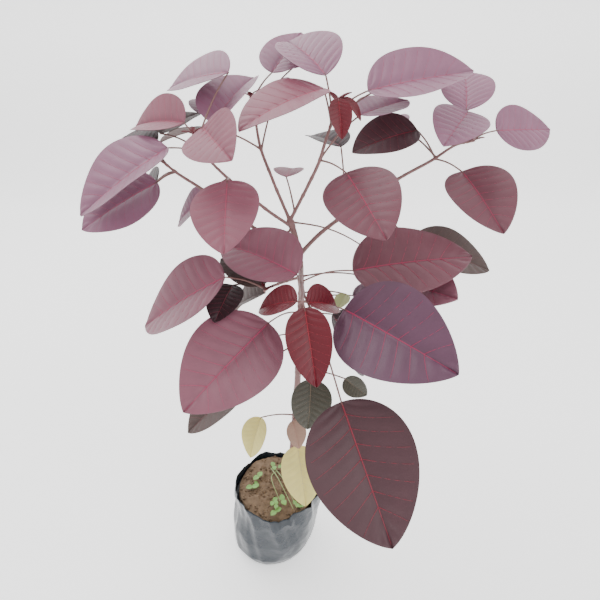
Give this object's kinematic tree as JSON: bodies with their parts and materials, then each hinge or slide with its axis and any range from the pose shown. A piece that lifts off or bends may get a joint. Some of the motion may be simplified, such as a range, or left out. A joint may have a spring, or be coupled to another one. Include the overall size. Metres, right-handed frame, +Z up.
{
  "type": "caribbean copper plant in a nursery bag",
  "caption": "Young red-leaved shrub: one thin upright trunk with spreading boughs and round copper-purple leaves on long stalks, in a black film nursery bag of soil.",
  "frame": {"origin": "middle of the bag's flat underside, which the plant stands on", "axes": "+Z up along the trunk, -Y towards the side that the picture shows, +X to that view's right"},
  "size_m": [0.4292, 0.3178, 0.5904],
  "materials": {
    "film": "soft black film with a dull sheen",
    "soil": "crumbly brown soil",
    "bark": "smooth mauve-brown young bark",
    "leaf": "satin copper-purple leaf with pink veins"
  },
  "bodies": {
    "root": {"bough_left": "bark", "bough_low_left": "bark", "bough_mid_left": "bark", "bough_mid_right": "bark", "bough_right": "bark", "crown_front": "leaf", "crown_left": "leaf", "crown_left_shoot": "leaf", "crown_low_left": "leaf", "crown_mid_left": "leaf", "crown_mid_right": "leaf", "crown_right": "leaf", "front_shoot": "bark", "leaf_back_left": "leaf", "leaf_back_low": "leaf", "leaf_behind_right": "leaf", "leaf_centre_left": "leaf", "leaf_centre_low": "leaf", "leaf_fork_small": "leaf", "leaf_green": "leaf", "leaf_green_small": "leaf", "leaf_left_big": "leaf", "leaf_left_bough_back": "leaf", "leaf_left_low": "leaf", "leaf_light_green": "leaf", "leaf_pale": "leaf", "leaf_right_back": "leaf", "leaf_right_big": "leaf", "leaf_right_bough_back": "leaf", "leaf_right_brown": "leaf", "leaf_right_dark": "leaf", "leaf_right_lower": "leaf", "leaf_right_upper": "leaf", "leaf_under_red": "leaf", "leaf_yellow_long": "leaf", "leaf_yellow_short": "leaf", "left_shoot": "bark", "nursery_bag": "film", "soil": "soil", "trunk": "bark"}
  },
  "joints": []
}
